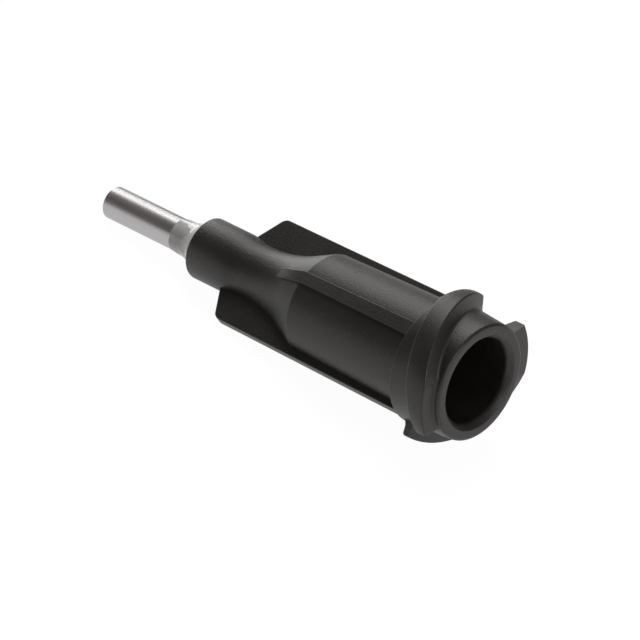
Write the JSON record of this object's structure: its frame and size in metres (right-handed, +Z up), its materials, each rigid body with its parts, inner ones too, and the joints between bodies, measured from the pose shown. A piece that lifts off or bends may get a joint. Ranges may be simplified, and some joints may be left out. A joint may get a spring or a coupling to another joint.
{
  "type": "dispensing needle tip",
  "caption": "Dispensing needle tip: a tapered locking hub with wings and ribs, and a short blunt steel tube set in epoxy.",
  "frame": {"origin": "centre of the hub's open mouth, on the tip's own axis", "axes": "the tip lies on its side as it rests on a bench, mouth towards +X and steel tube towards -X, the tube's end lowest, so its axis drops 7.8 degrees below -X; +Z up"},
  "size_m": [0.0241, 0.0074, 0.0075],
  "materials": {
    "hub": "satin moulded polypropylene, near black",
    "tube": "bright drawn stainless steel",
    "epoxy": "glossy clear epoxy, slightly milky"
  },
  "bodies": {
    "root": {"hub": "hub", "cannula": "tube", "adhesive_bead": "epoxy"}
  },
  "joints": []
}
